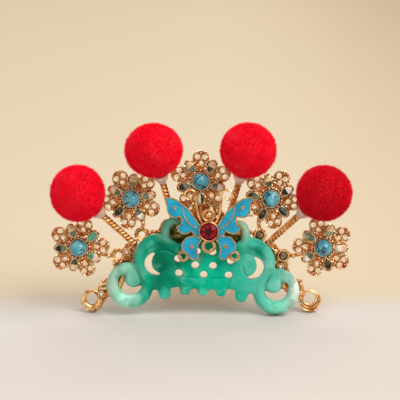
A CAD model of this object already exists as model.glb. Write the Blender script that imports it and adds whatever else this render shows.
"""Opera headdress hair ornament, with its visible shapes and finishes.

Pieces are drawn flat in millimetres, as the ornament lies on the bench: X to the right, Y up the
ornament, Z towards the viewer. STANCE then stands them up in the CAD frame, leaning back.
"""
import math
import random

import bmesh
import bpy
from mathutils import Matrix, Vector, noise


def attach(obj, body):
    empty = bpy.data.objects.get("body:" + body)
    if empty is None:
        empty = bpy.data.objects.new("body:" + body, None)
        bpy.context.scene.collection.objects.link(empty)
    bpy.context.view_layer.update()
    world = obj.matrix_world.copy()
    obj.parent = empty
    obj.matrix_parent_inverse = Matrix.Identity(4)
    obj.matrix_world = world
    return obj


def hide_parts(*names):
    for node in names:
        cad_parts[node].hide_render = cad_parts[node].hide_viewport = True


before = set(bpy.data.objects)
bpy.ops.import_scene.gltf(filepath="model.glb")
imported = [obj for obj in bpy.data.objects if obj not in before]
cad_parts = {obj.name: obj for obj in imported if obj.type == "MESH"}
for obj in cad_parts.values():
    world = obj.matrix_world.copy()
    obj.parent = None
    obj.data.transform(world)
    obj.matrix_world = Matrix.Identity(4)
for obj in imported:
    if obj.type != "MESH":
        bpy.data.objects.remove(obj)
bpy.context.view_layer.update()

MM = 0.001
LEAN = math.radians(8)
SET_BACK = -9.5616
LIFT = 0.2730
STANCE = (
    Matrix.Translation((0, SET_BACK * MM, LIFT * MM))
    @ Matrix.Rotation(math.pi / 2 - LEAN, 4, "X")
    @ Matrix.Scale(MM, 4)
)
FULL_TURN = 2 * math.pi
SIDES = (-1, 1)
FIVE = range(5)

# Levels towards the viewer, from the middle of the gilt arch
PLATE_BACK = 1.1
FLOWER_BACK = 1.0
BUTTERFLY_BACK = 5.05
POMPOM_OUT = 7.2

# Where things sit: across, up
PLATE_AT = (0.6, 6.7)
PLATE_TURN = math.radians(-2.44)
BUTTERFLY_AT = (2.1, 22.8)
OUTER_FLOWER = (33, 17.8)
INNER_FLOWER = (18.8, 31.05)
TOP_FLOWER = (0, 35.8)
OUTER_STEM_FOOT = (18.1, 18.7, -0.1)
INNER_STEM_FOOT = (6.8, 23.2, -0.5)
LOOP_AT = (29.55, 3)


# Bench helpers


def flip(row):
    """The same row on the other side of the middle."""
    return (-row[0], *row[1:])


def sided(rows, side):
    """Rows of the right half, put on the side that is asked for."""
    return [tuple(row) if side > 0 else flip(row) for row in rows]


def eased(rows, steps=4, closed=False):
    """Rows of numbers run into one another along a smooth curve."""
    rows = [Vector(row) for row in rows]
    count = len(rows)

    def pick(i):
        return rows[i % count] if closed else rows[min(max(i, 0), count - 1)]

    run = []
    for i in range(count if closed else count - 1):
        a, b, c, d = (pick(i + k) for k in (-1, 0, 1, 2))
        for step in range(steps):
            t = step / steps
            bend = 2 * a - 5 * b + 4 * c - d + t * (3 * (b - c) + d - a)
            run.append(b + 0.5 * t * (c - a + t * bend))
    if not closed:
        run.append(rows[-1])
    return run


def level(rows, height):
    """Flat rows lifted to one height."""
    return [(row[0], row[1], height) for row in rows]


def round_run(radius, count, at=(0, 0), height=0.0, long=1.0):
    """Points round a circle, or round an oval that is longer across."""
    turns = [FULL_TURN * i / count for i in range(count)]
    return [(at[0] + long * radius * math.cos(a), at[1] + radius * math.sin(a), height) for a in turns]


def disc(radius, count, at=(0, 0)):
    """Outline of a round sheet or hole."""
    return [point[:2] for point in round_run(radius, count, at)]


def pour(bm, mesh, finish=0):
    """Adds a mesh to a piece, in one of the piece's finishes."""
    if finish:
        mesh.polygons.foreach_set("material_index", [finish] * len(mesh.polygons))
    bm.from_mesh(mesh)
    bpy.data.meshes.remove(mesh)


def drawn_curve(name, runs, closed, **settings):
    """Curve of straight spans through runs of points, which may carry a share of the radius."""
    curve = bpy.data.curves.new(name, "CURVE")
    for key, value in settings.items():
        setattr(curve, key, value)
    for run in runs:
        spline = curve.splines.new("POLY")
        spline.points.add(len(run) - 1)
        spline.use_cyclic_u = closed
        for point, at in zip(spline.points, run):
            point.co = (at[0], at[1], at[2] if len(at) > 2 else 0, 1)
            point.radius = at[3] if len(at) > 3 else 1
    holder = bpy.data.objects.new(name, curve)
    mesh = bpy.data.meshes.new_from_object(holder)
    bpy.data.objects.remove(holder)
    bpy.data.curves.remove(curve)
    return mesh


def wires(bm, runs, radius, closed=False, roundness=1, finish=0, squash=1.0):
    """Round wires along runs of points."""
    mesh = drawn_curve(
        "wires", runs, closed,
        dimensions="3D", bevel_depth=radius, bevel_resolution=roundness, use_fill_caps=not closed,
    )
    mesh.transform(Matrix.Diagonal((1, 1, squash, 1)))
    pour(bm, mesh, finish)


def cut_sheet(bm, outline, holes=(), low=0.0, high=1.0, edge=0.05, finish=0):
    """Sheet with softened edges, cut to an outline with holes."""
    mesh = drawn_curve(
        "sheet", (outline, *holes), True,
        dimensions="2D", fill_mode="BOTH", extrude=(high - low) / 2 - edge,
        bevel_depth=edge, bevel_resolution=1, offset=-edge,
    )
    mesh.transform(Matrix.Translation((0, 0, (low + high) / 2)))
    pour(bm, mesh, finish)


def twisted(run, across, pitch, strands=2, closed=True, sideways=Vector((0, 0, 1))):
    """Strands of a twisted wire along a run of points: the way round fits a closed run."""
    run = [Vector(point[:3]) for point in run]
    count = len(run)
    along = [0.0]
    for here, there in zip(run, run[1:]):
        along.append(along[-1] + (there - here).length)
    total = along[-1] + ((run[0] - run[-1]).length if closed else 0)
    turns = round(total / pitch) if closed else total / pitch
    made = []
    for k in range(strands):
        strand = []
        for i, point in enumerate(run):
            ahead = run[(i + 1) % count] if closed else run[min(i + 1, count - 1)]
            back = run[i - 1] if closed else run[max(i - 1, 0)]
            out = (ahead - back).cross(sideways).normalized()
            over = out.cross(ahead - back).normalized()
            angle = FULL_TURN * (turns * along[i] / total + k / strands)
            strand.append(point + across * (math.cos(angle) * out + math.sin(angle) * over))
        made.append(strand)
    return made


def within(outline, across, up):
    """Whether a place lies inside an outline."""
    inside = False
    for (ax, ay), (bx, by) in zip(outline, [*outline[1:], outline[0]]):
        if (ay > up) != (by > up) and across < ax + (bx - ax) * (up - ay) / (by - ay):
            inside = not inside
    return inside


def grain(bm, at, radius, finish=0, round_segments=10, tall=1.0):
    """Small round bead of metal."""
    bead = bmesh.new()
    bmesh.ops.create_uvsphere(
        bead, u_segments=round_segments, v_segments=max(5, round_segments * 2 // 3), radius=radius,
        matrix=Matrix.Translation(at) @ Matrix.Diagonal((1, 1, tall, 1)),
    )
    pour(bm, blank_mesh(bead), finish)


def limb(bm, rows, around=16):
    """Carved limb, round in front and flat behind, through rows of across, up, half width, height."""
    flat_behind = 0.55
    loops = []
    for i, (across, up, half, high) in enumerate(rows):
        back, ahead = rows[max(i - 1, 0)], rows[min(i + 1, len(rows) - 1)]
        heading = math.atan2(ahead[1] - back[1], ahead[0] - back[0])
        ring = bmesh.ops.create_circle(bm, segments=around, radius=1)["verts"]
        for vert in ring:
            rise = max(vert.co.y + flat_behind, 0) / (1 + flat_behind)
            vert.co = (vert.co.x * half, rise * high, 0)
        stand = Matrix.Rotation(heading - math.pi / 2, 4, "Z") @ Matrix.Rotation(math.pi / 2, 4, "X")
        bmesh.ops.transform(bm, matrix=Matrix.Translation((across, up, 0)) @ stand, verts=ring)
        loops.append(list({edge for vert in ring for edge in vert.link_edges}))
        if i in (0, len(rows) - 1):
            bm.faces.new(ring)
    for here, there in zip(loops, loops[1:]):
        bmesh.ops.bridge_loops(bm, edges=here + there)


def faceted(bm, rings):
    """Cut stone through rings of corners: radius, height, how many, and the turn as a share of one."""
    for radius, height, count, turn in rings:
        spin = Matrix.Rotation(FULL_TURN * turn / count, 4, "Z")
        bmesh.ops.create_circle(
            bm, segments=count, radius=radius, matrix=Matrix.Translation((0, 0, height)) @ spin
        )
    hull = bmesh.ops.convex_hull(bm, input=bm.verts)
    inside = [item for item in hull["geom_interior"] if isinstance(item, bmesh.types.BMVert)]
    bmesh.ops.delete(bm, geom=inside, context="VERTS")
    bmesh.ops.dissolve_limit(bm, angle_limit=math.radians(2), verts=bm.verts, edges=bm.edges)


def worked(bm, *steps):
    """The piece after its modifiers, each given as its kind and its settings."""
    mesh = bpy.data.meshes.new("blank")
    bm.to_mesh(mesh)
    bm.free()
    blank = bpy.data.objects.new("blank", mesh)
    bpy.context.scene.collection.objects.link(blank)
    for kind, settings in steps:
        modifier = blank.modifiers.new(kind, kind)
        for key, value in settings.items():
            setattr(modifier, key, value)
    seen = blank.evaluated_get(bpy.context.evaluated_depsgraph_get())
    done = bmesh.new()
    done.from_mesh(seen.to_mesh())
    bpy.data.objects.remove(blank)
    bpy.data.meshes.remove(mesh)
    return done


def blank_mesh(bm):
    """A finished shape, kept as a mesh to be copied."""
    bmesh.ops.recalc_face_normals(bm, faces=bm.faces)
    mesh = bpy.data.meshes.new("copied")
    bm.to_mesh(mesh)
    bm.free()
    return mesh


def place(source, name, materials, nodes=(), where=Matrix.Identity(4), crease=40):
    """Stands a piece up in the frame, in the place of the CAD nodes that it stands for."""
    if isinstance(source, bmesh.types.BMesh):
        mesh = blank_mesh(source)
    else:
        mesh = source.copy()
    mesh.name = name
    mesh.transform(STANCE @ where)
    for made in materials:
        mesh.materials.append(made)
    mesh.shade_smooth()
    mesh.set_sharp_from_angle(angle=math.radians(crease))
    piece = bpy.data.objects.new(name, mesh)
    bpy.context.scene.collection.objects.link(piece)
    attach(piece, "root")
    if nodes:
        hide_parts(*nodes)


# Shader helpers


def shade(red, green, blue):
    """Colour from the values that a screen shows."""
    tones = [value / 255 for value in (red, green, blue)]
    return (*(tone / 12.92 if tone < 0.04 else ((tone + 0.055) / 1.055) ** 2.4 for tone in tones), 1)


def node(tree, kind, inputs=(), **settings):
    """Shader node with its settings, and its sockets linked or set."""
    made = tree.nodes.new("ShaderNode" + kind)
    for key, value in settings.items():
        setattr(made, key, value)
    for key, value in dict(inputs).items():
        if isinstance(value, bpy.types.NodeSocket):
            tree.links.new(value, made.inputs[key])
        else:
            made.inputs[key].default_value = value
    return made


def blend(tree, factor, first, second):
    """One colour over another."""
    return node(tree, "Mix", {0: factor, 6: first, 7: second}, data_type="RGBA").outputs[2]


def ramp(tree, factor, stops):
    """Colours along a value, each with its position and its red, green and blue."""
    made = node(tree, "ValToRGB", {0: factor})
    points = made.color_ramp.elements
    while len(points) < len(stops):
        points.new(0.5)
    for point, (position, tone) in zip(points, stops):
        point.position = position
        point.color = shade(*tone)
    return made.outputs[0]


def reckon(tree, operation, *values):
    """One sum on plain values."""
    return node(tree, "Math", enumerate(values), operation=operation).outputs[0]


def part_of(tree, place_on, axis):
    """One of the three numbers of a place."""
    return node(tree, "SeparateXYZ", {0: place_on}).outputs[axis]


def share_of(tree, value, low, high):
    """How far a value lies between two ends, as a straight share."""
    return node(tree, "MapRange", {"Value": value, "From Min": low, "From Max": high}).outputs[0]


def spread(tree, value, low, high, to_low=0.0, to_high=1.0):
    """A value spread from one range to another, and held at its ends."""
    return node(
        tree, "MapRange",
        {"Value": value, "From Min": low, "From Max": high, "To Min": to_low, "To Max": to_high},
        interpolation_type="SMOOTHSTEP",
    ).outputs[0]


def tinted(tree, colour, value, low, high, tint, most=1.0):
    """A tint over a colour, from none at the low end of a value to the most at its high end."""
    return blend(tree, spread(tree, value, low, high, 0.0, most), colour, tint)


def bench(tree, at=(0, 0, 0), turn=0.0):
    """Position on the bench in millimetres, from a place on the ornament."""
    seen = node(tree, "TexCoord").outputs["Object"]
    flat = node(
        tree, "Mapping",
        {
            "Vector": seen,
            "Location": (0, SET_BACK * MM, LIFT * MM),
            "Rotation": (math.pi / 2 - LEAN, 0, 0),
            "Scale": (MM, MM, MM),
        },
        vector_type="TEXTURE",
    ).outputs[0]
    if not any(at) and not turn:
        return flat
    return node(
        tree, "Mapping",
        {"Vector": flat, "Location": at, "Rotation": (0, 0, turn)},
        vector_type="TEXTURE",
    ).outputs[0]


def group(name, inputs, outputs):
    """New node group: its tree, what it is given, and what it puts out."""
    tree = bpy.data.node_groups.new(name, "ShaderNodeTree")
    for way, sockets in (("INPUT", inputs), ("OUTPUT", outputs)):
        for socket, kind in sockets.items():
            tree.interface.new_socket(socket, in_out=way, socket_type="NodeSocket" + kind)
    return tree, tree.nodes.new("NodeGroupInput").outputs, tree.nodes.new("NodeGroupOutput").inputs


def clouding_effect():
    """Noise with patches of about one size, in millimetres."""
    tree, given, put = group(
        "clouding",
        {"Place": "Vector", "Size": "Float", "Detail": "Float", "Rough": "Float", "Seed": "Float"},
        {"Cloud": "Float"},
    )
    scale = reckon(tree, "DIVIDE", 1.0, given["Size"])
    noise_node = node(
        tree, "TexNoise",
        {
            "Vector": given["Place"], "W": given["Seed"], "Scale": scale,
            "Detail": given["Detail"], "Roughness": given["Rough"],
        },
        noise_dimensions="4D",
    )
    tree.links.new(noise_node.outputs[0], put["Cloud"])


def speckle(tree, at, size, detail=2.0, rough=0.5, seed=0.0):
    """The clouding effect, with the size of its patches in millimetres."""
    values = {"Place": at, "Size": size, "Detail": detail, "Rough": rough, "Seed": seed}
    return node(tree, "Group", values, node_tree=bpy.data.node_groups["clouding"]).outputs["Cloud"]


def hollows_effect():
    """How open a spot lies: 0 deep in a hollow, 1 on a ridge."""
    tree, given, put = group(
        "hollows", {"Reach": "Float", "Deepest": "Float", "Ridge": "Float"}, {"Open": "Float"}
    )
    seen = node(tree, "AmbientOcclusion", {"Distance": given["Reach"]}, samples=6).outputs["AO"]
    tree.links.new(spread(tree, seen, given["Deepest"], given["Ridge"]), put["Open"])


def openness(tree, reach, deepest, ridge):
    """The hollows effect, with its reach in millimetres."""
    values = {"Reach": reach * MM, "Deepest": deepest, "Ridge": ridge}
    return node(tree, "Group", values, node_tree=bpy.data.node_groups["hollows"]).outputs["Open"]


def gilding_effect():
    """Worn plating: patches of three tones, a darker tone in the hollows, and fine unevenness."""
    tones = ("Light", "Middle", "Dark", "Hollow")
    tree, given, put = group(
        "gilding",
        {"Place": "Vector", **dict.fromkeys(tones, "Color"), "Smoothest": "Float", "Roughest": "Float"},
        {"Color": "Color", "Roughness": "Float", "Height": "Float"},
    )
    place_on, fine_seed, hollow_seed = given["Place"], 3.0, 8.0
    patches = speckle(tree, place_on, 1.3, 3, 0.6)
    colour = tinted(tree, given["Dark"], patches, 0.32, 0.5, given["Middle"])
    colour = tinted(tree, colour, patches, 0.48, 0.66, given["Light"])
    olive = spread(tree, speckle(tree, place_on, 2.4, 1, 0.5, hollow_seed), 0.45, 0.6, 0.0, 0.8)
    hollow = blend(tree, olive, given["Hollow"], shade(92, 74, 34))
    colour = blend(tree, openness(tree, 0.7, 0.2, 0.82), hollow, colour)
    fine = speckle(tree, place_on, 0.5, 2, 0.5, fine_seed)
    rough = spread(tree, fine, 0.3, 0.7, given["Smoothest"], given["Roughest"])
    for made, socket in ((colour, "Color"), (rough, "Roughness"), (fine, "Height")):
        tree.links.new(made, put[socket])


def finish_of(name, **constants):
    """New material with the plain values of its finish."""
    made = bpy.data.materials.new(name)
    made.use_nodes = True
    shader = made.node_tree.nodes["Principled BSDF"]
    for key, value in constants.items():
        shader.inputs[key.replace("_", " ")].default_value = value
    return made, made.node_tree, shader


def bumped(tree, shader, height, depth, strength=1.0):
    """Lets a height show on the surface. The depth is in millimetres."""
    bump = node(tree, "Bump", {"Height": height, "Distance": depth * MM, "Strength": strength})
    tree.links.new(bump.outputs[0], shader.inputs["Normal"])


# Finishes


def gilt_finish(name, light, middle, dark, smoothest=0.16, roughest=0.36):
    """Rose-gold plating, duller and redder in its hollows."""
    made, tree, shader = finish_of(name, Metallic=1.0)
    values = {
        "Place": bench(tree), "Light": shade(*light), "Middle": shade(*middle), "Dark": shade(*dark),
        "Hollow": shade(92, 38, 18), "Smoothest": smoothest, "Roughest": roughest,
    }
    plating = node(tree, "Group", values, node_tree=bpy.data.node_groups["gilding"]).outputs
    tree.links.new(plating["Color"], shader.inputs["Base Color"])
    tree.links.new(plating["Roughness"], shader.inputs["Roughness"])
    bumped(tree, shader, plating["Height"], 0.05, 0.5)
    return made


def jade_finish():
    """Dyed jade, clouded from deep green to milky white."""
    made, tree, shader = finish_of(
        "clouded_jade", Roughness=0.3, Specular_IOR_Level=0.05, Coat_Weight=0.05, Coat_Roughness=0.2,
        Subsurface_Weight=0.2, Subsurface_Scale=0.001,
    )
    shader.inputs["Subsurface Radius"].default_value = (0.35, 1.0, 0.85)
    at = bench(tree, (*PLATE_AT, PLATE_BACK), PLATE_TURN)
    bent = node(tree, "TexNoise", {"Vector": at, "Scale": 0.2, "Detail": 3.0}).outputs["Color"]
    offset = node(tree, "VectorMath", {0: bent, 1: (0.5, 0.5, 0.5)}, operation="SUBTRACT").outputs[0]
    swirl = node(tree, "VectorMath", {0: offset, 3: 5.0}, operation="SCALE").outputs[0]
    drift = node(tree, "VectorMath", {0: at, 1: swirl}, operation="ADD").outputs[0]
    share = share_of(tree, part_of(tree, drift, 0), -JADE_HALF, JADE_HALF)
    colour = ramp(tree, share, JADE_TONES)
    for across, up, reach, strength, tint in JADE_CLOUDS:
        middle = (across, up, CLOUD_LEVEL)
        away = node(tree, "VectorMath", {0: drift, 1: middle}, operation="DISTANCE").outputs["Value"]
        cover = spread(tree, away, reach * CLOUD_CORE, reach, strength, 0.0)
        colour = blend(tree, cover, colour, shade(*tint))
    veins = speckle(tree, drift, 3.2, 1.5, 0.45, 1.3)
    colour = tinted(tree, colour, veins, 0.5, 0.72, shade(120, 204, 184), 0.32)
    colour = tinted(tree, colour, veins, 0.46, 0.3, shade(0, 116, 90), 0.4)
    deep = blend(tree, 0.7, colour, shade(0, 92, 66))
    colour = blend(tree, openness(tree, 1.6, 0.3, 0.8), deep, colour)
    tree.links.new(colour, shader.inputs["Base Color"])
    bumped(tree, shader, speckle(tree, at, 2.6, 2, 0.5, 5.0), 0.15, 0.4)
    return made


def enamel_finish():
    """Blue enamel, slightly mottled."""
    made, tree, shader = finish_of("blue_enamel", Roughness=0.3, Specular_IOR_Level=0.3)
    at = bench(tree, (*BUTTERFLY_AT, BUTTERFLY_BACK))
    broad = speckle(tree, at, 3.4, 2, 0.5)
    colour = ramp(tree, broad, [(0.3, (4, 126, 170)), (0.5, (6, 150, 190)), (0.7, (36, 170, 204))])
    fine = speckle(tree, at, 0.42, 2, 0.6, 2.0)
    colour = tinted(tree, colour, fine, 0.42, 0.75, shade(84, 188, 216), 0.4)
    tree.links.new(colour, shader.inputs["Base Color"])
    bumped(tree, shader, fine, 0.04, 0.5)
    return made


def ruby_finish():
    """Red glass, dark in the middle, with kites of light towards its girdle."""
    made, tree, shader = finish_of("red_stone", Roughness=0.1, Specular_IOR_Level=0.25)
    at = bench(tree, (*BUTTERFLY_AT, BUTTERFLY_BACK))
    apart = node(tree, "SeparateXYZ", {0: at}).outputs
    flat = node(tree, "CombineXYZ", {0: apart[0], 1: apart[1]}).outputs[0]
    out = node(tree, "VectorMath", {0: flat}, operation="LENGTH").outputs["Value"]
    turn = reckon(tree, "ARCTAN2", apart[1], apart[0])
    kites = reckon(tree, "PINGPONG", reckon(tree, "MULTIPLY", turn, 8 / FULL_TURN), 0.5)
    rings = ramp(
        tree, spread(tree, out, 0, RUBY_RADIUS),
        [(0.0, (44, 2, 14)), (0.26, (70, 0, 20)), (0.6, (112, 0, 28)),
         (0.86, (136, 0, 28)), (1.0, (104, 0, 20))],
    )
    from_belt = reckon(tree, "ABSOLUTE", reckon(tree, "ADD", out, -KITE_BELT))
    belt = spread(tree, from_belt, 0.25, 0.75, 1.0, 0.0)
    bright = reckon(tree, "MULTIPLY", spread(tree, kites, 0.2, 0.32), belt)
    dark = reckon(tree, "MULTIPLY", spread(tree, kites, 0.16, 0.06), belt)
    colour = blend(tree, bright, rings, shade(138, 0, 32))
    colour = blend(tree, dark, colour, shade(56, 0, 14))
    cells = node(tree, "TexVoronoi", {"Vector": flat, "Scale": 1.6, "Randomness": 0.9}).outputs["Color"]
    sparkle = part_of(tree, cells, 0)
    colour = tinted(tree, colour, sparkle, 0.72, 0.76, shade(168, 6, 40), 0.5)
    colour = tinted(tree, colour, sparkle, 0.3, 0.26, shade(44, 0, 12), 0.5)
    tree.links.new(colour, shader.inputs["Base Color"])
    return made


def turquoise_finish():
    """Turquoise with dark veins and a few specks."""
    made, tree, shader = finish_of("turquoise", Roughness=0.2, Coat_Weight=0.5, Coat_Roughness=0.06)
    at = bench(tree)
    colour = ramp(
        tree, speckle(tree, at, 2.6, 3, 0.5),
        [(0.32, (44, 136, 164)), (0.5, (72, 164, 186)), (0.7, (118, 196, 206))],
    )
    bend = node(tree, "TexNoise", {"Vector": at, "Scale": 0.5, "Detail": 2.0}).outputs["Color"]
    bend = node(tree, "VectorMath", {0: bend, 3: 2.6}, operation="SCALE").outputs[0]
    bend = node(tree, "VectorMath", {0: at, 1: bend}, operation="ADD").outputs[0]
    cells = node(
        tree, "TexVoronoi", {"Vector": bend, "Scale": 0.36}, feature="DISTANCE_TO_EDGE"
    ).outputs["Distance"]
    gone = speckle(tree, at, 1.8, 2, 0.5, 4.0)
    width = spread(tree, gone, 0.36, 0.62, 0.0, 0.075)
    line = reckon(tree, "SUBTRACT", width, cells)
    colour = tinted(tree, colour, line, -0.01, 0.02, shade(24, 52, 78))
    tree.links.new(colour, shader.inputs["Base Color"])
    return made


def mottled_finish(name, patches, stops, **constants):
    """Finish in soft patches of a few tones. The patches: size, detail, roughness, seed."""
    made, tree, shader = finish_of(name, **constants)
    colour = ramp(tree, speckle(tree, bench(tree), *patches), stops)
    tree.links.new(colour, shader.inputs["Base Color"])
    return made


def foil_finish(tone):
    """Glass over foil, in one of the tones that its halves show."""
    light, deep = FOIL_TONES[tone]
    return mottled_finish(
        f"{tone}_foil_glass", (0.9, 2, 0.5, 5.0), [(0.36, deep), (0.56, light)],
        Roughness=0.12, Specular_IOR_Level=0.25, Coat_Weight=0.3, Coat_Roughness=0.03,
    )


def brown_finish():
    """Smoky brown stone."""
    return mottled_finish(
        "brown_stone", (1.0, 2, 0.5, 6.0),
        [(0.35, (84, 70, 44)), (0.5, (136, 108, 74)), (0.68, (184, 148, 112))],
        Roughness=0.2, Coat_Weight=0.3, Coat_Roughness=0.08,
    )


def collar_finish():
    """Pale pink, slightly clear collar."""
    return mottled_finish(
        "pale_collar", (1.5, 2, 0.5, 0.0), [(0.35, (240, 190, 178)), (0.65, (252, 214, 200))],
        Roughness=0.3, Subsurface_Weight=0.5, Subsurface_Scale=0.002, Transmission_Weight=0.25,
    )


def velvet_finish():
    """Red wool pile."""
    made, tree, shader = finish_of(
        "red_wool", Roughness=0.6, Sheen_Weight=0.8, Sheen_Roughness=0.4, Specular_IOR_Level=0.14,
    )
    shader.inputs["Sheen Tint"].default_value = shade(255, 96, 112)
    at = bench(tree)
    broad = speckle(tree, at, 5.0, 2, 0.5)
    colour = ramp(tree, broad, [(0.3, (244, 0, 46)), (0.5, (255, 4, 54)), (0.7, (255, 46, 70))])
    fine = speckle(tree, at, 1.1, 3, 0.6, 2.0)
    colour = tinted(tree, colour, fine, 0.5, 0.34, shade(206, 0, 26), 0.3)
    colour = tinted(tree, colour, fine, 0.52, 0.68, shade(255, 46, 66), 0.4)
    colour = tinted(tree, colour, part_of(tree, at, 0), 18, 30, shade(214, 0, 28), 0.7)
    tree.links.new(colour, shader.inputs["Base Color"])
    return made


# Level of the clouds' middles in the jade, and the share of their reach where they are full
CLOUD_LEVEL = 2.0
CLOUD_CORE = 0.35
# Tones of the jade from the left end of the plate to the right one
JADE_HALF = 26
JADE_TONES = [
    (0.0, (172, 204, 188)), (0.1, (134, 196, 172)), (0.2, (6, 158, 128)),
    (0.27, (0, 120, 92)), (0.36, (0, 140, 112)), (0.47, (0, 184, 150)),
    (0.6, (0, 180, 150)), (0.72, (56, 178, 154)), (0.86, (96, 194, 176)),
    (0.93, (158, 214, 200)), (1.0, (234, 232, 230)),
]
# Clouds in the jade: across, up, reach, strength, colour
JADE_CLOUDS = [
    (-20, -4, 4.5, 0.9, (172, 234, 214)),
    (-17.5, 7, 3.2, 0.6, (0, 164, 128)),
    (-15.5, 11.5, 3.5, 0.7, (20, 150, 122)),
    (-12, 7, 3.4, 0.9, (0, 106, 78)),
    (-10.2, 15.6, 4.6, 0.9, (100, 162, 142)),
    (-8.2, 17.4, 2.4, 0.7, (112, 184, 156)),
    (-10.3, -2.4, 2.6, 0.9, (64, 192, 174)),
    (9, 17, 5, 0.95, (160, 188, 166)),
    (8.3, 18, 2.2, 0.7, (200, 222, 200)),
    (-1.5, 8.5, 2.8, 0.7, (92, 170, 152)),
    (14.5, 11.2, 3.8, 0.95, (0, 142, 114)),
    (16.5, 6.5, 3.4, 0.75, (142, 214, 200)),
    (11, -1.5, 2.8, 0.85, (36, 178, 152)),
    (0, -1.4, 2.4, 0.9, (82, 204, 176)),
    (-4.5, -0.5, 2.2, 0.5, (50, 184, 158)),
    (18, 5, 3.0, 0.5, (30, 160, 136)),
    (20, -4.4, 4.2, 0.8, (122, 222, 192)),
]


# Jade plate, on its own middle. Its right half: across, up, half width, height
S_SCROLL = [
    (8.6, 11.4, 1.3, 3.1), (10.8, 12.4, 1.75, 3.5), (13.2, 12.6, 1.85, 3.7), (15.6, 11.4, 1.8, 3.7),
    (17.2, 9.3, 1.7, 3.7), (17.5, 6.9, 1.65, 3.7), (16.7, 4.4, 1.6, 3.6), (15.6, 2, 1.6, 3.5),
    (15.2, -0.6, 1.7, 3.4), (16.4, -3, 1.8, 3.4), (18.9, -4.35, 1.9, 3.5), (21.7, -3.9, 1.85, 3.6),
    (23.8, -2, 1.75, 3.6), (24.5, 0.5, 1.6, 3.6), (23.6, 2.9, 1.6, 3.5), (21.6, 4.4, 1.7, 3.4),
    (19.2, 4.4, 1.8, 3.2), (17.9, 2.9, 1.6, 2.9),
]
HOOK = [
    (10.6, 12, 1.3, 3.1), (10.85, 14.6, 1.3, 3.1), (10.5, 16.6, 1.25, 3.0), (9.6, 17.75, 1.1, 2.9),
    (8.4, 18, 0.95, 2.7), (7.4, 17.6, 0.7, 2.5),
]
PLATE_MIDDLE = [
    (0, -1.95), (0.9, -1.85), (1.25, -1.3), (1.65, -0.2), (2.3, 0), (2.9, -0.15), (3.4, -0.5),
    (3.85, -1.8), (4.3, -1.95), (5.4, -1.95), (5.9, -1.6), (6.2, -0.6), (6.45, 0.3), (8.85, -0.1),
    (8.65, -2.1), (9.2, -2.9), (10.2, -3.2), (11.4, -3), (11.9, -1.9), (12.3, -0.8), (13, -0.65),
    (14, -1.2), (15.2, 2), (15.4, 5.5), (16, 9), (13.5, 12), (10.6, 13.4), (8.9, 12.9),
    (7.4, 12.2), (5, 11.9), (3.4, 13.2), (0, 13.4),
]
PLATE_THICK = 2.9
# Tongues inside the curls: across, up, radius, height
TONGUES = [(18.7, 2.2, 2.9, 3.25), (18.98, 1.79, 2.5, 3.3), (11.38, 7.02, 2.9, 3.05)]
# Crescent openings: across, up, radius, first angle, last angle, width
CRESCENTS = [(19.7, 1, 3.35, 41, -167, 1.75), (12.9, 6.35, 3.2, 84, -118, 2)]
PIERCINGS = [(0, 3.96), (6.7, 4.1), (2.38, 6.45), (7.1, 8), (2.1, 10.2)]
PIERCING_RADIUS = 1.05
# Creases carved on the front: runs of across, up, level
CREASES = [
    [(6.95, 3.3, 2.85), (6.75, 1.6, 2.8), (6.45, 0.1, 2.7)],
    [(6.2, 3.25, 2.85), (3.6, 3.05, 2.87), (1.2, 3.0, 2.87)],
    [(16.7, 0.4, 2.95), (16.85, 2.0, 3.05), (17.85, 4.05, 3.1), (19.6, 5.7, 2.95), (20.8, 6.5, 2.7)],
    [(11.9, 4.0, 2.8), (11.2, 4.5, 2.85), (10.6, 5.5, 2.9), (10.45, 6.8, 3.0)],
    [(13.3, 9.7, 2.85), (11.4, 10.3, 2.85), (9.4, 9.9, 2.8), (7.8, 9.2, 2.85)],
]
TOOTH_TILT = 0.085
TILT_FROM = 3.2


def crescent_run(across, up, radius, first, last, width, steps=18):
    """Outline of a crescent: a round outer edge, and an inner edge that swells inwards."""
    turn = math.radians(last - first)
    start = math.radians(first)
    outer = [(radius, start + turn * i / steps) for i in range(steps + 1)]
    inner = [
        (radius - width * math.sqrt(math.sin(math.pi * i / steps)), start + turn * i / steps)
        for i in range(steps - 1, 0, -1)
    ]
    return [(across + r * math.cos(a), up + r * math.sin(a)) for r, a in outer + inner]


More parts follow.
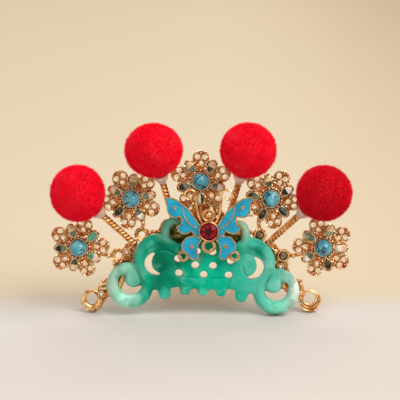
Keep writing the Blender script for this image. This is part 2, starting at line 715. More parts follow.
def jade_plate():
    bm = bmesh.new()
    outline = PLATE_MIDDLE + [flip(point) for point in reversed(PLATE_MIDDLE[1:-1])]
    cut_sheet(bm, outline, low=0, high=PLATE_THICK, edge=0.4)
    cutters = bmesh.new()
    creases = bmesh.new()
    for side in SIDES:
        limb(bm, eased(sided(S_SCROLL, side), 4))
        limb(bm, eased(sided(HOOK, side), 4))
        tip = HOOK[-1]
        grain(bm, (side * tip[0], tip[1], 1.25), tip[2], tall=1.7, round_segments=14)
        for across, up, radius, high in TONGUES:
            bmesh.ops.create_cone(
                bm, segments=28, cap_ends=True, radius1=radius, radius2=0.7 * radius, depth=high,
                matrix=Matrix.Translation((side * across, up, high / 2)),
            )
        for crescent in CRESCENTS:
            run = sided(crescent_run(*crescent), side)
            cut_sheet(cutters, run, low=-1, high=6, edge=0)
        for across, up in PIERCINGS:
            if side > 0 or across:
                bmesh.ops.create_cone(
                    cutters, segments=24, cap_ends=True,
                    radius1=PIERCING_RADIUS, radius2=PIERCING_RADIUS, depth=8,
                    matrix=Matrix.Translation((side * across, up, 2)),
                )
        for run in CREASES:
            wires(creases, [eased(sided(run, side), 4)], 0.4)
    cutter = as_tool(cutters)
    crease = as_tool(creases)
    bm = worked(
        bm,
        ("REMESH", {"mode": "VOXEL", "voxel_size": 0.22}),
        ("BOOLEAN", {"operation": "DIFFERENCE", "object": cutter, "solver": "EXACT"}),
        ("BOOLEAN", {"operation": "DIFFERENCE", "object": crease, "solver": "EXACT"}),
        ("REMESH", {"mode": "VOXEL", "voxel_size": 0.2}),
        ("SMOOTH", {"factor": 0.5, "iterations": 9}),
    )
    for tool in (cutter, crease):
        bpy.data.objects.remove(tool)
    for vert in bm.verts:
        below = max(TILT_FROM - vert.co.y, 0) * max(1 - abs(vert.co.x) / 13, 0)
        vert.co.z *= 1 - TOOTH_TILT * below
    place(
        bm, "jade_scroll_plate", [jade_finish()], ["jade_plate"],
        Matrix.Translation((*PLATE_AT, PLATE_BACK)) @ Matrix.Rotation(PLATE_TURN, 4, "Z"), crease=180,
    )


def as_tool(bm):
    """A shape that cuts another one, and isn't part of the ornament."""
    tool = bpy.data.objects.new("tool", blank_mesh(bm))
    bpy.context.scene.collection.objects.link(tool)
    return tool


# Filigree flowers
LOBE_AT = 6.15
LOBE_RADIUS = 2.25
PETAL_AT = 4.75
PETAL_LONG = 2.1
PETAL_WIDE = 1.58
STONE_LONG = 1.5
STONE_WIDE = 0.9
HEART_RADIUS = 3.3
SHEET_LOW = 0.05
SHEET_HIGH = 0.34
WIRE_LEVEL = 0.42
RIM_LEVEL = 0.44
SEAT_HIGH = 0.85
RIM_WIRE = 0.13
RIM_PITCH = 1.3
# How far the wires round a lobe and a stone lie inside the sheet's edge
RIM_INSET = 0.24
SEAT_MARGIN = 0.2
# Scroll in an opening: its turn, its spans, and its distance from the opening's middle, as a share
# of the opening's radius, at its start and lost with each span
SCROLL_TURN = math.radians(290)
SCROLL_STEPS = 10
SCROLL_START = 1.05
SCROLL_CLOSING = 0.085
# Openings of a lobe, from its own centre: out, across, radius
LOBE_HOLES = [(-1.25, 0, 0.56), (0.38, 0.98, 0.68), (0.38, -0.98, 0.68)]
# Grains on a lobe: out, across, radius
LOBE_GRAINS = [(-0.28, 0, 0.32), (1.46, 0, 0.27), (-0.95, 1.32, 0.27), (-0.95, -1.32, 0.27)]
# Grains round the heart: share of a fifth of a turn, distance, radius
HEART_GRAINS = [(0, 2.95, 0.4), (0.25, 3.0, 0.28), (0.5, 2.78, 0.36), (0.75, 3.0, 0.28)]


def reach_of_oval(angle, at, long, wide):
    """How far a ray from the flower's heart runs until it leaves an oval. None where it misses."""
    a = (math.cos(angle) / long) ** 2 + (math.sin(angle) / wide) ** 2
    b = -2 * math.cos(angle) * at / long ** 2
    c = (at / long) ** 2 - 1
    inside = b * b - 4 * a * c
    if inside < 0 or math.cos(angle) < 0:
        return None
    return (-b + math.sqrt(inside)) / (2 * a)


def flower_outline(steps=180):
    """Edge of a flower's sheet: lobes and stone seats by turns, round its heart."""
    run = []
    for i in range(steps):
        angle = FULL_TURN * i / steps
        reach = HEART_RADIUS
        for k in FIVE:
            for turn, at, long, wide in (
                (FULL_TURN * k / 5, LOBE_AT, LOBE_RADIUS, LOBE_RADIUS),
                (FULL_TURN * (k + 0.5) / 5, PETAL_AT, PETAL_LONG, PETAL_WIDE),
            ):
                off = (angle - turn + math.pi) % FULL_TURN - math.pi
                found = reach_of_oval(off, at, long, wide)
                if found:
                    reach = max(reach, found)
        run.append((reach * math.cos(angle), reach * math.sin(angle)))
    return run


def on_lobe(k, out, across):
    """Place on a lobe, from the flower's heart."""
    spot = Matrix.Rotation(FULL_TURN * k / 5, 2) @ Vector((LOBE_AT + out, across))
    return (spot.x, spot.y)


def petal_spot(k):
    """Stands a stone or its seat between two lobes."""
    return Matrix.Rotation(FULL_TURN * (k + 0.5) / 5, 4, "Z") @ Matrix.Translation((PETAL_AT, 0, 0))


def filigree_flower():
    """One flower, flat on the bench with a lobe to the right."""
    bm = bmesh.new()
    holes, rings, rims, scrolls = [], [], [], []
    lobe, long, wide = (size - RIM_INSET for size in (LOBE_RADIUS, PETAL_LONG, PETAL_WIDE))
    seat_long, seat_wide = STONE_LONG + SEAT_MARGIN, STONE_WIDE + SEAT_MARGIN
    for k in FIVE:
        for out, across, radius in LOBE_HOLES:
            holes.append(disc(radius, 16, on_lobe(k, out, across)))
            rings.append(round_run(radius + 0.1, 16, on_lobe(k, out, across), WIRE_LEVEL))
            scroll = []
            for i in range(SCROLL_STEPS + 1):
                turn = k + across + SCROLL_TURN * i / SCROLL_STEPS
                far = SCROLL_START - SCROLL_CLOSING * i
                aside, ahead = far * radius * math.sin(turn), far * radius * math.cos(turn)
                spot = on_lobe(k, out + ahead, across + aside)
                scroll.append((*spot, WIRE_LEVEL - 0.06))
            scrolls.append(scroll)
        rims += twisted(round_run(lobe, 96, on_lobe(k, 0, 0), RIM_LEVEL), RIM_WIRE - 0.01, RIM_PITCH)
        turn = petal_spot(k)
        petal = [turn @ Vector(point) for point in round_run(wide, 84, (0, 0), RIM_LEVEL, long / wide)]
        rims += twisted(petal, RIM_WIRE - 0.01, RIM_PITCH)
        seat = round_run(seat_wide, 26, (0, 0), 0, seat_long / seat_wide)
        seat = [(turn @ Vector(point))[:2] for point in seat]
        cut_sheet(bm, seat, (), SHEET_LOW, SEAT_HIGH, 0.08)
    cut_sheet(bm, flower_outline(), holes, SHEET_LOW, SHEET_HIGH, 0.06, finish=1)
    wires(bm, rings, 0.12, closed=True)
    wires(bm, rims, RIM_WIRE, closed=True, roundness=0)
    wires(bm, scrolls, 0.09, roundness=0)
    wires(bm, [round_run(2.42, 32, (0, 0), 0.7)], 0.2, closed=True)
    wires(bm, twisted(round_run(3.02, 110, (0, 0), 0.45), 0.15, 1.2), 0.16, closed=True, roundness=0)
    for k in FIVE:
        for out, across, radius in LOBE_GRAINS:
            grain(bm, (*on_lobe(k, out, across), WIRE_LEVEL + 0.08), radius)
        for share, at, radius in HEART_GRAINS:
            turn = FULL_TURN * (k + share) / 5
            grain(bm, (at * math.cos(turn), at * math.sin(turn), 0.68), radius)
    return blank_mesh(bm)


# Flowers from left to right: place, angle of one lobe, and the two tones of each mirror stone, the
# outer and the inner one, or the right and the left one where the stone is split along its length
FLOWERS = [
    (flip(OUTER_FLOWER), 2.8, ("mint mint", "cream grey", "black grey", "cream olive", "pink mint")),
    (flip(INNER_FLOWER), 46, ("cream sage", "cream grey", "black olive", "white grey", "pink sage")),
    (TOP_FLOWER, 90, ("cream grey", "black grey", "olive white along", "white grey", "cream olive")),
    (INNER_FLOWER, 62, ("cream olive", "olive grey", "black olive", "grey black along", "white black")),
    (OUTER_FLOWER, 33.2, ("cream sage", "sage grey", "white grey", "black olive", "pink white")),
]
FOIL_TONES = {
    "white": ((252, 246, 236), (224, 208, 186)),
    "cream": ((232, 212, 166), (196, 166, 116)),
    "pink": ((240, 206, 190), (206, 164, 140)),
    "mint": ((108, 182, 156), (62, 132, 112)),
    "sage": ((148, 164, 138), (92, 112, 92)),
    "grey": ((112, 130, 114), (62, 78, 66)),
    "olive": ((92, 86, 58), (48, 42, 24)),
    "black": ((40, 32, 24), (12, 9, 6)),
}


def flowers(filigree, sheet):
    made = filigree_flower()
    tones = list(FOIL_TONES)
    foils = [foil_finish(tone) for tone in tones]
    for i, (at, turn, stones) in enumerate(FLOWERS, 1):
        where = Matrix.Translation((*at, FLOWER_BACK)) @ Matrix.Rotation(math.radians(turn), 4, "Z")
        place(made, f"filigree_flower_{i}", [filigree, sheet], [f"flower_{i}"], where)
        bm = bmesh.new()
        for k, words in enumerate(stones):
            pair = [tones.index(word) for word in words.split()[:2]]
            mirror_stone(bm, petal_spot(k), pair, "along" in words)
        nodes = [f"mirror_{i}_{k}" for k in range(1, 6)]
        place(bm, f"mirror_stones_{i}", foils, nodes, where, crease=12)
    bpy.data.meshes.remove(made)


def mirror_stone(bm, spot, tones, lengthwise):
    """Oval glass with a flat table, half in one tone of foil and half in another."""
    stone = bmesh.new()
    faceted(stone, [(1, SEAT_HIGH - 0.1, 18, 0), (1, SEAT_HIGH + 0.2, 18, 0), (0.74, 1.5, 18, 0)])
    bmesh.ops.scale(stone, vec=(STONE_LONG, STONE_WIDE, 1), verts=stone.verts)
    split = Vector((0, 1, 0)) if lengthwise else Vector((1, 0.12, 0)).normalized()
    everything = [*stone.verts, *stone.edges, *stone.faces]
    bmesh.ops.bisect_plane(stone, geom=everything, dist=0.0001, plane_co=(0, 0, 0), plane_no=split)
    for face in stone.faces:
        face.material_index = tones[face.calc_center_median().dot(split) < 0]
    bmesh.ops.transform(stone, matrix=spot, verts=stone.verts)
    pour(bm, blank_mesh(stone))


def dress(name, made):
    """Gives a CAD node its finish."""
    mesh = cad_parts[name].data
    mesh.materials.clear()
    mesh.materials.append(made)


def stones():
    """Finishes of the stones whose cut is the CAD's own."""
    blue = turquoise_finish()
    for i in range(1, 6):
        dress(f"turquoise_{i}", blue)
    brown, clear, rosy = brown_finish(), foil_finish("white"), foil_finish("pink")
    for i, made in enumerate((brown, brown, rosy, clear, clear), 1):
        dress(f"frame_stone_{i}", made)


# Cast arch. Runs of its right half: across, up
BAND = [
    (0, 20.9), (6, 20.6), (10.5, 19.6), (14, 17.9), (16.4, 15.4), (18.6, 12.9), (20.9, 10.2),
    (22.6, 7.4), (24.8, 5.2), (28, 4.2),
]
# Row of the band where its part behind the hooks ends
INNER_BAND = 2
OUTER_ARM = [
    (27.5, 4.6), (27.4, 6.6), (26.4, 8.2), (24.8, 8.9), (23.8, 10.4), (23.2, 12), (22.7, 13.7),
]
CROWN = [(9.8, 20.4), (8, 22.6), (4.5, 23.7), (0, 24)]
RING_A = (22.3, 15.4)
RING_C = (15.95, 21.05)
KNOT = (20.1, 16.4)
SPARK = (21.6, 12.4)
LINKS = [
    [(14.7, 17.6), (15.6, 19.6)],
    [(15.9, 22.6), (15.6, 24.8), (17, 28.2), INNER_FLOWER],
    [(23.9, 15.4), (26.8, 15.7), (29.8, 16.5), OUTER_FLOWER],
    [(14.5, 21.4), (12.4, 21.9), (9, 21.4)],
    [(16.4, 15.4), (17.2, 17.2), OUTER_STEM_FOOT[:2]],
    [OUTER_STEM_FOOT[:2], KNOT],
    [(22.2, 14), SPARK, (19.8, 11.6)],
    [KNOT, (20.8, 15.6)],
]
# Grains cast on the arch: across, up, radius
GRAINS = [
    (25, 15.3, 0.7), (26.3, 15.9, 0.55), (13.8, 21.6, 0.55), (12.5, 22, 0.62), (11.2, 21.9, 0.5),
    (26.4, 8.5, 0.55), (27.1, 7.6, 0.6), (19.4, 17.3, 0.5), (15.7, 24.4, 0.65), (3.3, 21.9, 0.6),
    (8.6, 21.3, 0.55), (23.6, 13.2, 0.5),
]
# Granulated grounds of the right half: finish, how many grains, outline
GROUNDS = [
    (2, 90, [(-0.4, 18.6), (10.2, 18), (10.4, 20.6), (8.6, 22.6), (5, 23.6), (-0.4, 23.8)]),
    (1, 22, [(9.2, 20.6), (11.6, 20.4), (11.4, 22.2), (10.9, 24), (9.8, 25.2), (8.6, 25.2), (8.6, 22)]),
    (1, 34, [
        (18.2, 19.2), (20.4, 18.4), (21.3, 16.9), (20.9, 14.2), (22.2, 13.9), (23.4, 12.9),
        (22.8, 11.2), (20.6, 10.6), (18.5, 13), (16.9, 16), (17, 18),
    ]),
]
LEFT_KNOB = eased(
    [(-28, 6.2), (-27.6, 7.8), (-25.8, 8.2), (-25.3, 6.4), (-25.4, 3.8), (-26.6, 2.4)],
    3, True,
)
# Curls between the crown and the top flower: across, up
CURLS = [
    [
        (1.2, 24), (1.9, 26.2), (3.6, 27.3), (5.2, 26.7), (5.5, 25.3), (4.4, 24.5), (3.5, 25.2),
        (3.9, 26),
    ],
    [(0.8, 24), (1.1, 27.4), (2.4, 29.8), (4, 30.6)],
]
# Pierced ground under the curls: outline, then openings as across, up, radius
LATTICE = [(0, 23.6), (6.6, 23.9), (6.7, 26.2), (5.2, 28.4), (3.4, 30.6), (0, 31)]
LATTICE_HOLES = [
    (2.3, 25.7, 0.62), (4.5, 25.9, 0.6), (5.9, 24.9, 0.4), (2.9, 28.4, 0.6), (4.3, 27.7, 0.4),
]
# Smooth bar that shows through the lower scrolls
BAR = [(22.7, 6.6, 0.1), (20.9, 10.4, 0.1)]
# Stones set in the arch: across, up, radius
SETTINGS = [
    (22.3, 15.4, 1.25), (15.95, 21.05, 1.25), (-20.1, 16.4, 0.85), (-27, 4.9, 0.7), (21.6, 12.4, 0.7),
]
# Thickness of the wires of the arch: its band, its arms and its crown, and how flat the band is
BAND_WIRE = 1.0
ARM_WIRE = 0.52
CROWN_WIRE = 0.56
FLAT_SHARE = 0.78
# End loops. Each eye leaves a round of 1.5 mm radius open, whose middle lies 0.65 above the loop's
LOOP_RADIUS = 3.05
# Left eye: its middle above the loop's, its half height, and its width as a share of its height
LEFT_EYE = (0.65, 1.68, 0.92)
# Right eye: its middle above the loop's, and its radius
RIGHT_EYE = (0.75, 1.62)
# Grooved rims of the right loop: middle above the loop's, radius, thickness, level
RIGHT_RIMS = [(0, 2.78, 0.27, 0.35), (0.32, 2.28, 0.19, 0.45), (0.75, 1.87, 0.24, 0.45)]


def granulated(bm, outline, grains, finish):
    """Flat ground covered with grains."""
    cut_sheet(bm, outline, (), -0.75, 0.1, 0.1, finish=finish)
    cut_sheet(bm, outline, (), -1, -0.78, 0.06, finish=1)
    low, high = ([pick(point[i] for point in outline) for i in (0, 1)] for pick in (min, max))
    while grains:
        spot = (random.uniform(low[0], high[0]), random.uniform(low[1], high[1]))
        if within(outline, *spot):
            coat = finish if random.random() < 0.8 else 1
            grain(bm, (*spot, 0.1), random.uniform(0.25, 0.48), finish=coat, round_segments=8)
            grains -= 1


def cast_arch(finishes):
    random.seed(11)
    bm = bmesh.new()
    for side in SIDES:
        for rows, coat in ((BAND[:INNER_BAND + 1], 2), (BAND[INNER_BAND:], 1)):
            run = level(eased(sided(rows, side), 6), 0)
            wires(bm, [run], BAND_WIRE, roundness=2, squash=FLAT_SHARE, finish=coat)
        arms = [eased(sided(run, side), 5) for run in (OUTER_ARM, *LINKS)]
        wires(bm, [level(run, 0) for run in arms], ARM_WIRE, roundness=1, finish=1)
        wires(bm, [level(eased(sided(CROWN, side), 5), 0)], CROWN_WIRE, finish=2)
        for run, width in ((eased(sided(BAND, side), 3), 0.75), (eased(sided(CROWN, side), 3), 0.5)):
            for i, point in enumerate(run):
                ahead = run[min(i + 1, len(run) - 1)] - run[max(i - 1, 0)]
                normal = Vector((-ahead.y, ahead.x)).normalized()
                off = width * SIDES[i % 2] * random.uniform(0.6, 1)
                size = random.uniform(0.3, 0.45)
                coat = 2 if abs(point.x) < BAND[INNER_BAND][0] else 0
                grain(bm, (*(point + normal * off), 0.3), size, finish=coat, round_segments=8)
        for across, up in (RING_A, RING_C):
            wide = 0.2 if side < 0 else 0
            ring = round_run(1.42 + wide / 2, 28, (side * across, up), 0)
            wires(bm, [ring], 0.42 + wide, closed=True, roundness=2, finish=1)
            rim = round_run(1.6 + wide, 90, (side * across, up), 0.5)
            wires(bm, twisted(rim, 0.15, 1.2), 0.16, closed=True, roundness=0)
        if side > 0:
            grain(bm, (*SPARK, 0), 1.3, tall=0.5, finish=3, round_segments=16)
        for across, up in (KNOT, SPARK, (27, 4.9)):
            grain(bm, (side * across, up, 0), 1.0, tall=0.75, round_segments=16)
        for across, up, radius in GRAINS:
            grain(bm, (side * across, up, 0.25), radius, round_segments=12)
        for foot in (OUTER_STEM_FOOT, INNER_STEM_FOOT):
            grain(bm, (side * foot[0], foot[1], foot[2]), 1.0, finish=1, round_segments=16)
        for across in (1.5, 4.3, 7):
            wires(bm, [[(side * across, 20.6, 0), (side * across, 23.8, 0)]], 0.4, finish=2)
        for finish, grains, outline in GROUNDS:
            granulated(bm, sided(outline, side), grains, finish)
        openings = [
            round_run(radius, 16, (side * across, up), 0.1) for across, up, radius in LATTICE_HOLES
        ]
        holes = [[point[:2] for point in run] for run in openings]
        cut_sheet(bm, sided(LATTICE, side), holes, -0.6, 0, 0.06, finish=1)
        wires(bm, openings, 0.17, closed=True)
        for run in CURLS:
            curl = eased(sided(run, side), 5)
            wires(bm, [level(curl, 0)], 0.36, finish=1)
            for point in curl[::3]:
                grain(bm, (point.x, point.y, 0.28), random.uniform(0.28, 0.4), round_segments=8)
        wires(bm, [sided(BAR, side)], 1.15, roundness=3, finish=3, squash=0.6)
        loop(bm, side)
    granulated(bm, LEFT_KNOB, 14, 3)
    bars = [[(-27.7, 7.2, 0.3), (-25.5, 7.9, 0.3)], [(-27.5, 6.1, 0.3), (-25.6, 6.6, 0.3)]]
    wires(bm, bars, 0.46, roundness=2)
    wires(bm, [[(26.9, 8.7, 0.1), (27.5, 5.2, 0.1)]], 0.56, roundness=3, finish=3)
    for across, up, radius in SETTINGS:
        wires(bm, [round_run(radius + 0.12, 24, (across, up), 0.85)], 0.22, closed=True)
    wires(bm, [[(0, 23.5, 0), (*TOP_FLOWER, 0)]], 0.75, finish=1, squash=FLAT_SHARE)
    for at in (OUTER_FLOWER, flip(OUTER_FLOWER), INNER_FLOWER, flip(INNER_FLOWER), TOP_FLOWER):
        cut_sheet(bm, disc(2.2, 28, at), (), -0.8, 0.8, 0.1, finish=1)
    place(bm, "cast_arch", finishes, ["gilt_frame"])


def loop(bm, side):
    """End loop of the arch, thin at its top: rounded on the left, deeply grooved on the right."""
    at = Vector((side * LOOP_AT[0], LOOP_AT[1]))
    if side < 0:
        lift, tall, share = LEFT_EYE
        eye = at + Vector((0, lift))
        run = []
        for rim, hole in zip(round_run(LOOP_RADIUS, 48), round_run(tall, 48, eye - at, 0, share)):
            rim, hole = Vector(rim[:2]), Vector(hole[:2])
            run.append((*(at + (rim + hole) / 2), 0, (rim - hole).length / 2))
        wires(bm, [run], 1.0, closed=True, roundness=4, finish=3)
        rim_wide, rim_tall = tall * share + 0.15, tall + 0.15
        upright = Matrix.Rotation(math.pi / 2, 4, "Z")
        rim = round_run(rim_wide, 36, (0, 0), 0.35, rim_tall / rim_wide)
        rim = [upright @ Vector(point) for point in rim]
        wires(bm, [[(p.x + eye.x, p.y + eye.y, p.z) for p in rim]], 0.16, closed=True, finish=1)
        for i in range(26):
            angle = math.radians(random.uniform(-130, 75))
            spot = at + random.uniform(2, 2.8) * Vector((math.cos(angle), math.sin(angle)))
            grain(bm, (*spot, 0.6), random.uniform(0.24, 0.38), finish=i % 3, round_segments=8)
        return
    lift, radius = RIGHT_EYE
    hole = disc(radius, 32, at + Vector((0, lift)))
    cut_sheet(bm, disc(LOOP_RADIUS - 0.1, 40, at), [hole], -1.2, 0.3, 0.2, finish=1)
    for lift, radius, thick, height in RIGHT_RIMS:
        rim = round_run(radius, 44, (at.x, at.y + lift), height)
        wires(bm, [rim], thick, closed=True, roundness=2)


# Butterfly, from the middle of its red stone. Its right half: across, up
WING_TOP = eased([(2.4, 1.6), (3.8, 3.7), (5.2, 5.6), (6.7, 7), (8.1, 8.1), (9.9, 8.9), (11.6, 9.05)])
WING_TIP = eased([(11.6, 9.05), (11.2, 7.2), (11, 5.4), (10.3, 4.2), (9.2, 3.75), (7.6, 3.95)])
WING_NOTCH = eased([(7.6, 3.95), (7.2, 3.2), (7.3, 2.2), (7.8, 1.5), (8.5, 1.2)])
WING_LOW = eased([(8.5, 1.2), (8.2, 0.3), (7.5, -0.45), (6.5, -0.7), (5.4, -0.4), (4.6, 0.15)])
WING_ROOT = [Vector(point) for point in ((4.2, -0.7), (3.5, -1.35), (2.3, -1.6), (1.6, 0))]
LOW_WING = eased([
    (3.1, -1.3), (5.2, -1.45), (6.4, -2.2), (7.1, -3.4), (7.1, -4.7), (6.8, -5.5), (5.8, -6),
    (5.3, -6.8), (4.7, -7.4), (3.9, -7.6), (3.1, -7.3), (2.8, -6.6), (3.05, -5.7), (3.1, -4.7),
    (2.8, -3.5), (1.9, -2.3),
])
PARTING = eased([(6.9, 6.9), (6.8, 5.6), (6.6, 4.4), (6.1, 3.3), (5.2, 2.2), (4, 1.3), (3, 0.9)])
FEELER = eased([
    (1.6, 1.6), (2.5, 3.4), (3.05, 5.4), (3.3, 7.6), (3.4, 9.4), (3.9, 10.7), (5, 11.1),
    (6.1, 10.6), (6.35, 9.6), (5.8, 8.7), (5, 8.5), (4.5, 9),
])
UPPER_WING = WING_TOP + WING_TIP[1:] + WING_NOTCH[1:] + WING_LOW[1:] + WING_ROOT
# Rings of the butterfly: across, up, outer radius, inner radius
TAIL_RING = (0, -4.1, 1.95, 1.12)
SIDE_RING = (6.85, -6.75, 1.52, 0.78)
DOTS = [(9.1, 6.4), (4.5, -4.05)]
HEAD_AT = (0, 4.3)
RUBY_RADIUS = 2.4
# Distance of the kites' brightest belt from the middle of the red stone
KITE_BELT = 1.55
WING_BASE = 0.6
WING_FACE = 0.95


def flat_ring(bm, across, up, outer, inner):
    """Flat gilt ring with a raised wire along each edge."""
    edges = [disc(radius, 28, (across, up)) for radius in (outer, inner)]
    cut_sheet(bm, edges[0], [edges[1]], 0.02, WING_BASE, 0.08, finish=2)
    for radius in (outer - 0.16, inner + 0.14):
        wires(bm, [round_run(radius, 28, (across, up), WING_BASE)], 0.17, closed=True)


def butterfly(finishes):
    bm = bmesh.new()
    glaze = bmesh.new()
    rim = 0.18
    for side in SIDES:
        upper, lower = sided(UPPER_WING, side), sided(LOW_WING, side)
        for run in (upper, lower):
            cut_sheet(bm, run, (), 0, WING_BASE, 0.06)
            cut_sheet(glaze, run, (), WING_BASE - 0.1, WING_FACE, 0.12)
            wires(bm, [level(run, WING_FACE)], rim, closed=True, finish=1)
        wires(bm, [level(sided(PARTING, side), WING_FACE + 0.02)], rim, finish=1)
        wires(bm, [level(sided(FEELER, side), 0.3)], 0.3, roundness=2, finish=1)
        flat_ring(bm, side * SIDE_RING[0], *SIDE_RING[1:])
        for across, up in DOTS:
            wires(bm, [round_run(0.38, 16, (side * across, up), WING_FACE + 0.16)], 0.15, closed=True)
            grain(bm, (side * across, up, WING_FACE), 0.22, finish=2, round_segments=8)
    flat_ring(bm, *TAIL_RING)
    for height, radius, thick in ((0.75, 2.58, 0.24), (1.25, 2.56, 0.2), (1.6, 2.5, 0.16)):
        wires(bm, [round_run(radius, 40, (0, 0), height)], thick, closed=True, roundness=2, finish=2)
    cut_sheet(bm, disc(2.7, 40), (), 0.02, 0.66, 0.05)
    cut_sheet(bm, disc(1.85, 32, HEAD_AT), (), 0.02, WING_BASE, 0.06)
    wires(bm, [round_run(1.56, 30, HEAD_AT, WING_BASE + 0.1)], 0.28, closed=True, roundness=2, finish=2)
    grain(bm, (*HEAD_AT, WING_BASE), 1.0, finish=1, round_segments=18, tall=0.95)
    where = Matrix.Translation((*BUTTERFLY_AT, BUTTERFLY_BACK))
    place(bm, "butterfly_gilt", finishes, ["butterfly"], where)
    cells = ["enamel_left", "enamel_right"]
    place(glaze, "wing_enamel", [enamel_finish()], cells, where)


def ruby():
    """Round brilliant: a table, eight kite facets and sixteen girdle facets."""
    bm = bmesh.new()
    faceted(bm, [
        (RUBY_RADIUS, 0.72, 16, 0), (RUBY_RADIUS, 1.3, 16, 0), (1.98, 1.75, 8, 0.5), (1.3, 2.05, 8, 0),
    ])
    where = Matrix.Translation((*BUTTERFLY_AT, BUTTERFLY_BACK))
    place(bm, "red_brilliant", [ruby_finish()], ["ruby"], where, crease=5)


# Pompoms on their stems
POMPOM_CORE = 6.98
POMPOM_RADIUS = 7.5
COLLAR_LONG = 2.2
SOCKET_LONG = 1.4
SEAT_GAP = 0.15
# Where a stem starts, from its foot, and how far it stops short of its socket's end
STEM_START = 0.6
STEM_PLAY = 0.15
# Wool pile: patches on a ball, different patches, fibres in each, and its radius
PATCHES = 340
PATCH_KINDS = 8
PATCH_FIBRES = 84
PATCH_RADIUS = 0.95
FIBRE_RADIUS = 0.085
# Slow swelling of the ball: how much, and how often in a millimetre
SWELLING = 0.016
SWELLING_RATE = 0.3
# Pompoms from left to right: place, foot of the stem, and how far each one is squashed, across and up
POMPOMS = [
    ((-32.8, 33.2), flip(OUTER_STEM_FOOT), (0.98, 1.02)),
    ((-12.55, 44.65), flip(INNER_STEM_FOOT), (1.04, 0.97)),
    ((12.55, 44.65), INNER_STEM_FOOT, (1.01, 0.99)),
    ((32.8, 33.2), OUTER_STEM_FOOT, (1, 1)),
]


def tuft():
    """Small patch of short fibres that lean about at random."""
    bm = bmesh.new()
    for i in range(PATCH_FIBRES):
        out = PATCH_RADIUS * math.sqrt(random.random())
        turn = random.uniform(0, FULL_TURN)
        axis = Vector((random.uniform(-1, 1), random.uniform(-1, 1), 0))
        lean = Matrix.Rotation(math.radians(random.uniform(0, 50)), 4, axis)
        long = random.uniform(0.8, 1.1) if i % 6 == 0 else random.uniform(0.4, 0.7)
        at = Matrix.Translation((out * math.cos(turn), out * math.sin(turn), -0.1))
        bmesh.ops.create_cone(
            bm, segments=3, cap_ends=True, radius1=FIBRE_RADIUS, radius2=0, depth=long,
            matrix=at @ lean @ Matrix.Translation((0, 0, long / 2)),
        )
    return blank_mesh(bm)


def wool_ball():
    """Soft ball under a pile of short fibres."""
    bm = bmesh.new()
    bmesh.ops.create_icosphere(bm, subdivisions=4, radius=POMPOM_CORE)
    for vert in bm.verts:
        vert.co *= 1 + SWELLING * noise.noise(vert.co * SWELLING_RATE)
    tufts = [tuft() for _ in range(PATCH_KINDS)]
    golden = math.pi * (3 - math.sqrt(5))
    for i in range(PATCHES):
        height = 1 - 2 * (i + 0.5) / PATCHES
        across = math.sqrt(1 - height * height)
        out = Vector((across * math.cos(golden * i), across * math.sin(golden * i), height))
        turn = out.to_track_quat("Z", "Y").to_matrix().to_4x4()
        turn = turn @ Matrix.Rotation(random.uniform(0, FULL_TURN), 4, "Z")
        reach = POMPOM_CORE * (1 + SWELLING * noise.noise(out * POMPOM_CORE * SWELLING_RATE))
        patch = tufts[i % len(tufts)].copy()
        patch.transform(Matrix.Translation(out * reach) @ turn)
        pour(bm, patch)
    for mesh in tufts:
        bpy.data.meshes.remove(mesh)
    mesh = bpy.data.meshes.new("ball")
    bm.to_mesh(mesh)
    bm.free()
    return mesh


def rope(start, end):
    """Three strands twisted round each other, from a foot towards a pompom."""
    strand, across, pitch = 0.46, 0.47, 3.3
    steps = int((end - start) / 0.18)
    run = [(0, 0, start + (end - start) * i / steps) for i in range(steps + 1)]
    bm = bmesh.new()
    wires(bm, twisted(run, across, pitch, 3, False, Vector((0, 1, 0))), strand, roundness=2)
    return bm


def pompoms(aged, wool, collar):
    random.seed(4)
    ball = wool_ball()
    for i, (at, foot, (wide, tall)) in enumerate(POMPOMS, 1):
        heart = Vector((*at, POMPOM_OUT))
        foot = Vector(foot)
        spin = Matrix.Rotation(1.3 * i, 4, "Y") @ Matrix.Rotation(0.9 * i, 4, "X")
        where = Matrix.Translation(heart) @ Matrix.Diagonal((wide, tall, 1, 1)) @ spin
        place(ball, f"wool_pompom_{i}", [wool], [f"pompom_{i}"], where, crease=60)
        run = heart - foot
        end = run.length - POMPOM_RADIUS - SEAT_GAP - COLLAR_LONG + SOCKET_LONG - STEM_PLAY
        where = Matrix.Translation(foot) @ run.to_track_quat("Z", "Y").to_matrix().to_4x4()
        place(rope(STEM_START, end), f"rope_stem_{i}", [aged], [f"stem_{i}"], where)
        dress(f"collar_{i}", collar)
    bpy.data.meshes.remove(ball)


# Floor, light and camera
WORLD_TARGET = (-0.24, -5.32, 30.48)
CAMERA_AWAY = 500
CAMERA_RISE = math.radians(15)
CAMERA_LENS = 166.67
CAMERA_SENSOR = 36


def aim(thing, target):
    thing.rotation_euler = (target - thing.location).to_track_quat("-Z", "Y").to_euler()


def camera():
    made = bpy.data.objects.new("camera", bpy.data.cameras.new("camera"))
    made.data.lens = CAMERA_LENS
    made.data.sensor_width = CAMERA_SENSOR
    made.data.clip_start = 0.01
    target = Vector(WORLD_TARGET) * MM
    away = Vector((0, -math.cos(CAMERA_RISE), math.sin(CAMERA_RISE)))
    made.location = target + away * CAMERA_AWAY * MM
    aim(made, target)
    bpy.context.scene.collection.objects.link(made)
    bpy.context.scene.camera = made


def lamp(name, at, size, power, tint=(1, 1, 1)):
    """Large soft lamp that faces the ornament. Its place and size are in metres."""
    light = bpy.data.lights.new(name, "AREA")
    light.shape = "RECTANGLE"
    light.size, light.size_y = size
    light.energy = power
    light.color = tint
    made = bpy.data.objects.new(name, light)
    made.location = at
    aim(made, Vector((0, 0, 0.025)))
    bpy.context.scene.collection.objects.link(made)


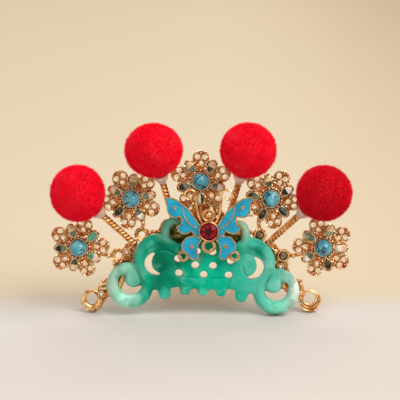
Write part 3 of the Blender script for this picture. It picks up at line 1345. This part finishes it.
def studio():
    scene = bpy.context.scene
    scene.view_settings.view_transform = "Standard"
    scene.view_settings.look = "None"
    world = bpy.data.worlds.new("studio")
    world.use_nodes = True
    scene.world = world
    tree = world.node_tree
    sky = node(tree, "TexCoord").outputs["Generated"]
    tones = ramp(
        tree, share_of(tree, part_of(tree, sky, 2), -1.0, 1.0),
        [(0.0, (150, 124, 96)), (0.46, (214, 190, 160)), (0.53, (255, 246, 232)),
         (0.62, (236, 222, 202)), (0.72, (120, 104, 88)), (0.8, (216, 206, 192)),
         (1.0, (240, 236, 230))],
    )
    tree.nodes["Background"].inputs["Strength"].default_value = 0.8
    tree.links.new(tones, tree.nodes["Background"].inputs["Color"])
    lamp("key", (0.4, -0.3, 0.65), (0.7, 0.7), 7.0, (1.0, 0.97, 0.93))
    lamp("fill", (-0.7, -0.5, 0.4), (0.9, 0.7), 1.4, (1.0, 0.98, 0.96))
    lamp("back", (0.1, 0.7, 0.55), (0.8, 0.3), 2.2, (1.0, 0.95, 0.88))


def floor():
    bm = bmesh.new()
    bmesh.ops.create_grid(bm, x_segments=8, y_segments=8, size=2.2)
    mesh = bpy.data.meshes.new("pale_floor")
    bm.to_mesh(mesh)
    bm.free()
    made, tree, shader = finish_of("pale_card", Roughness=0.7)
    seen = node(tree, "TexCoord").outputs["Object"]
    back = part_of(tree, seen, 1)
    colour = tinted(tree, shade(198, 197, 197), back, -0.013, 0.014, shade(206, 192, 168))
    cloud = node(tree, "TexNoise", {"Vector": seen, "Scale": 3.0, "Detail": 1.0}).outputs[0]
    colour = tinted(tree, colour, cloud, 0.3, 0.8, shade(214, 192, 160), 0.2)
    colour = tinted(tree, colour, part_of(tree, seen, 0), 0.0, 0.16, shade(170, 150, 120), 0.8)
    tree.links.new(colour, shader.inputs["Base Color"])
    mesh.materials.append(made)
    ground = bpy.data.objects.new("pale_floor", mesh)
    bpy.context.scene.collection.objects.link(ground)


# Platings: lightest, middle and darkest tone, and the smoothest and roughest patches
PLATINGS = {
    "rose_gilt": ((255, 234, 190), (254, 202, 140), (226, 150, 90), 0.16, 0.34),
    "aged_gilt": ((252, 196, 136), (224, 154, 96), (158, 94, 50), 0.24, 0.4),
    "shaded_gilt": ((158, 154, 92), (116, 117, 64), (70, 78, 38), 0.35, 0.55),
    "bright_gilt": ((252, 220, 164), (236, 186, 124), (200, 144, 84), 0.14, 0.28),
    "filigree_gilt": ((255, 240, 206), (255, 212, 158), (242, 162, 106), 0.14, 0.3),
    "sheet_gilt": ((236, 158, 104), (198, 120, 70), (136, 68, 38), 0.26, 0.42),
    "comb_gilt": ((250, 214, 160), (236, 190, 132), (206, 150, 96), 0.2, 0.32),
}


def build():
    clouding_effect()
    hollows_effect()
    gilding_effect()
    made = [gilt_finish(name, *row) for name, row in PLATINGS.items()]
    gilt, aged, shaded, bright, filigree, sheet, plain = made
    jade_plate()
    cast_arch([gilt, aged, shaded, bright])
    flowers(filigree, sheet)
    stones()
    butterfly([filigree, bright, aged])
    ruby()
    pompoms(aged, velvet_finish(), collar_finish())
    dress("comb", plain)


build()
floor()
studio()
camera()
